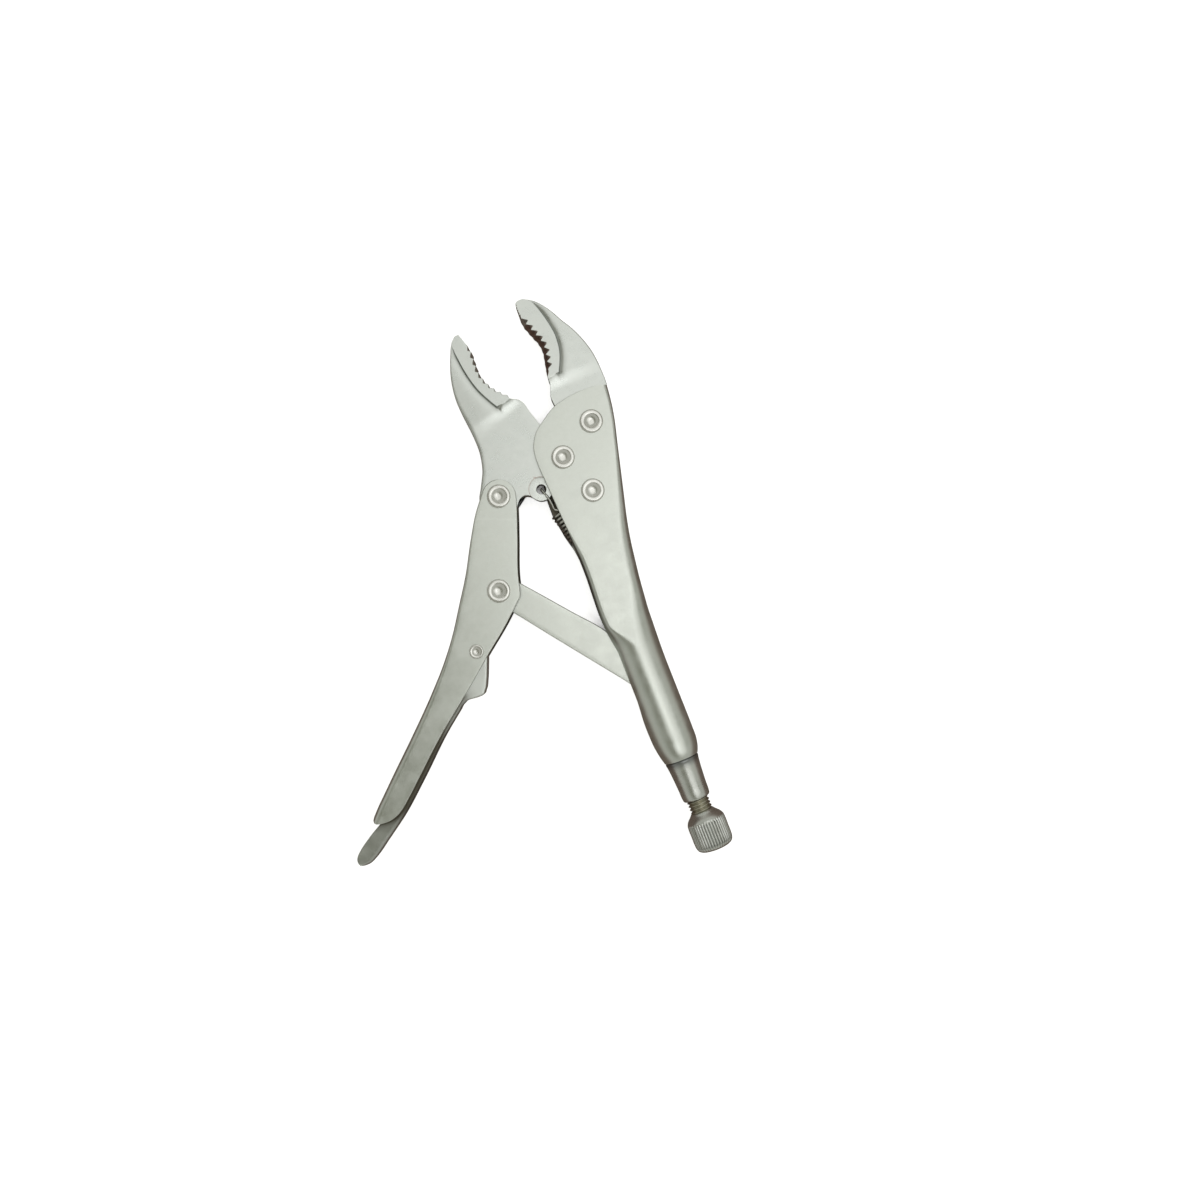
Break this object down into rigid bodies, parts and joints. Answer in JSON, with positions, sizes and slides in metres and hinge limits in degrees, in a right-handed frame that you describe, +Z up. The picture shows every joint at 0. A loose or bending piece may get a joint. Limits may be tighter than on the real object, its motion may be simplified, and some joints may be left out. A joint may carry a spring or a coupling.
{
  "type": "locking pliers",
  "caption": "Curved-jaw locking pliers with a toggle link, a release lever and a knurled adjusting screw, lying open on their side.",
  "frame": {"origin": "centre of the bounding box's base, with the tool lying on its side and its jaws open", "axes": "+Y along the adjusting screw from the knob towards the jaws, +X towards the back of the fixed handle, +Z up through the thickness of the tool"},
  "size_m": [0.1736, 0.2484, 0.0172],
  "materials": {
    "plated_sheet_steel": "satin nickel plate over pressed sheet",
    "forged_steel": "satin nickel plate over a forging",
    "plated_turned_steel": "satin nickel plate over turned steel",
    "rivet_steel": "pressed bright rivet heads",
    "screw_steel": "oiled rolled thread",
    "spring_wire": "drawn spring wire"
  },
  "bodies": {
    "fixed_handle": {"fixed_handle": "plated_sheet_steel", "threaded_sleeve": "plated_turned_steel", "fixed_jaw": "forged_steel", "return_spring": "spring_wire", "jaw_pivot_rivet": "rivet_steel", "fixed_jaw_front_rivet": "rivet_steel", "fixed_jaw_rear_rivet": "rivet_steel"},
    "moving_jaw": {"moving_jaw": "forged_steel"},
    "moving_handle": {"moving_handle": "plated_sheet_steel", "handle_pivot_rivet": "rivet_steel", "link_pivot_rivet": "rivet_steel", "release_lever_rivet": "rivet_steel"},
    "toggle_link": {"toggle_link": "plated_sheet_steel"},
    "release_lever": {"release_lever": "plated_sheet_steel"},
    "adjusting_screw": {"adjusting_screw": "screw_steel"},
    "knurled_knob": {"knurled_knob": "plated_turned_steel"},
    "spring_hook": {"spring_front_hook": "spring_wire"}
  },
  "joints": [
    {"name": "jaw_pivot", "type": "hinge", "parent": "fixed_handle", "child": "moving_jaw", "pos_m": [0.05772, 0.05505, 0.0086], "axis": [0, 0, -1], "range_deg": [0, 23], "stiffness_Nm_per_rad": 0.3, "springref_deg": -17.19, "deforming": ["return_spring"]},
    {"name": "handle_pivot", "type": "hinge", "parent": "moving_jaw", "child": "moving_handle", "pos_m": [0.0263, 0.04956, 0.0086], "axis": [0, 0, 1], "range_deg": [0, 50]},
    {"name": "link_pivot", "type": "hinge", "parent": "moving_handle", "child": "toggle_link", "pos_m": [0.0116, 0.01226, 0.0086], "axis": [0, 0, -1], "range_deg": [0, 42.6]},
    {"name": "release_lever_pivot", "type": "hinge", "parent": "moving_handle", "child": "release_lever", "pos_m": [-0.00656, -0.00821, 0.0086], "axis": [0, 0, 1], "range_deg": [0, 8]},
    {"name": "screw_travel", "type": "slide", "parent": "fixed_handle", "child": "adjusting_screw", "axis": [0, -1, 0], "range_m": [-0.0055, 0.015]},
    {"name": "knob_turn", "type": "hinge", "parent": "adjusting_screw", "child": "knurled_knob", "pos_m": [0.05772, -0.11065, 0.0086], "axis": [0, -1, 0], "range_deg": [-1330, 3610]},
    {"name": "spring_hook_slide", "type": "slide", "parent": "fixed_handle", "child": "spring_hook", "axis": [-0.3698, 0.9291, 0], "range_m": [0, 0.0066]}
  ],
  "couplings": [
    {"joint": "handle_pivot", "follows": "jaw_pivot", "ratio": 2.166},
    {"joint": "link_pivot", "follows": "jaw_pivot", "ratio": 1.848},
    {"joint": "spring_hook_slide", "follows": "jaw_pivot", "m_per_rad": 0.016143},
    {"joint": "knob_turn", "follows": "screw_travel", "rad_per_m": 4188.8}
  ]
}
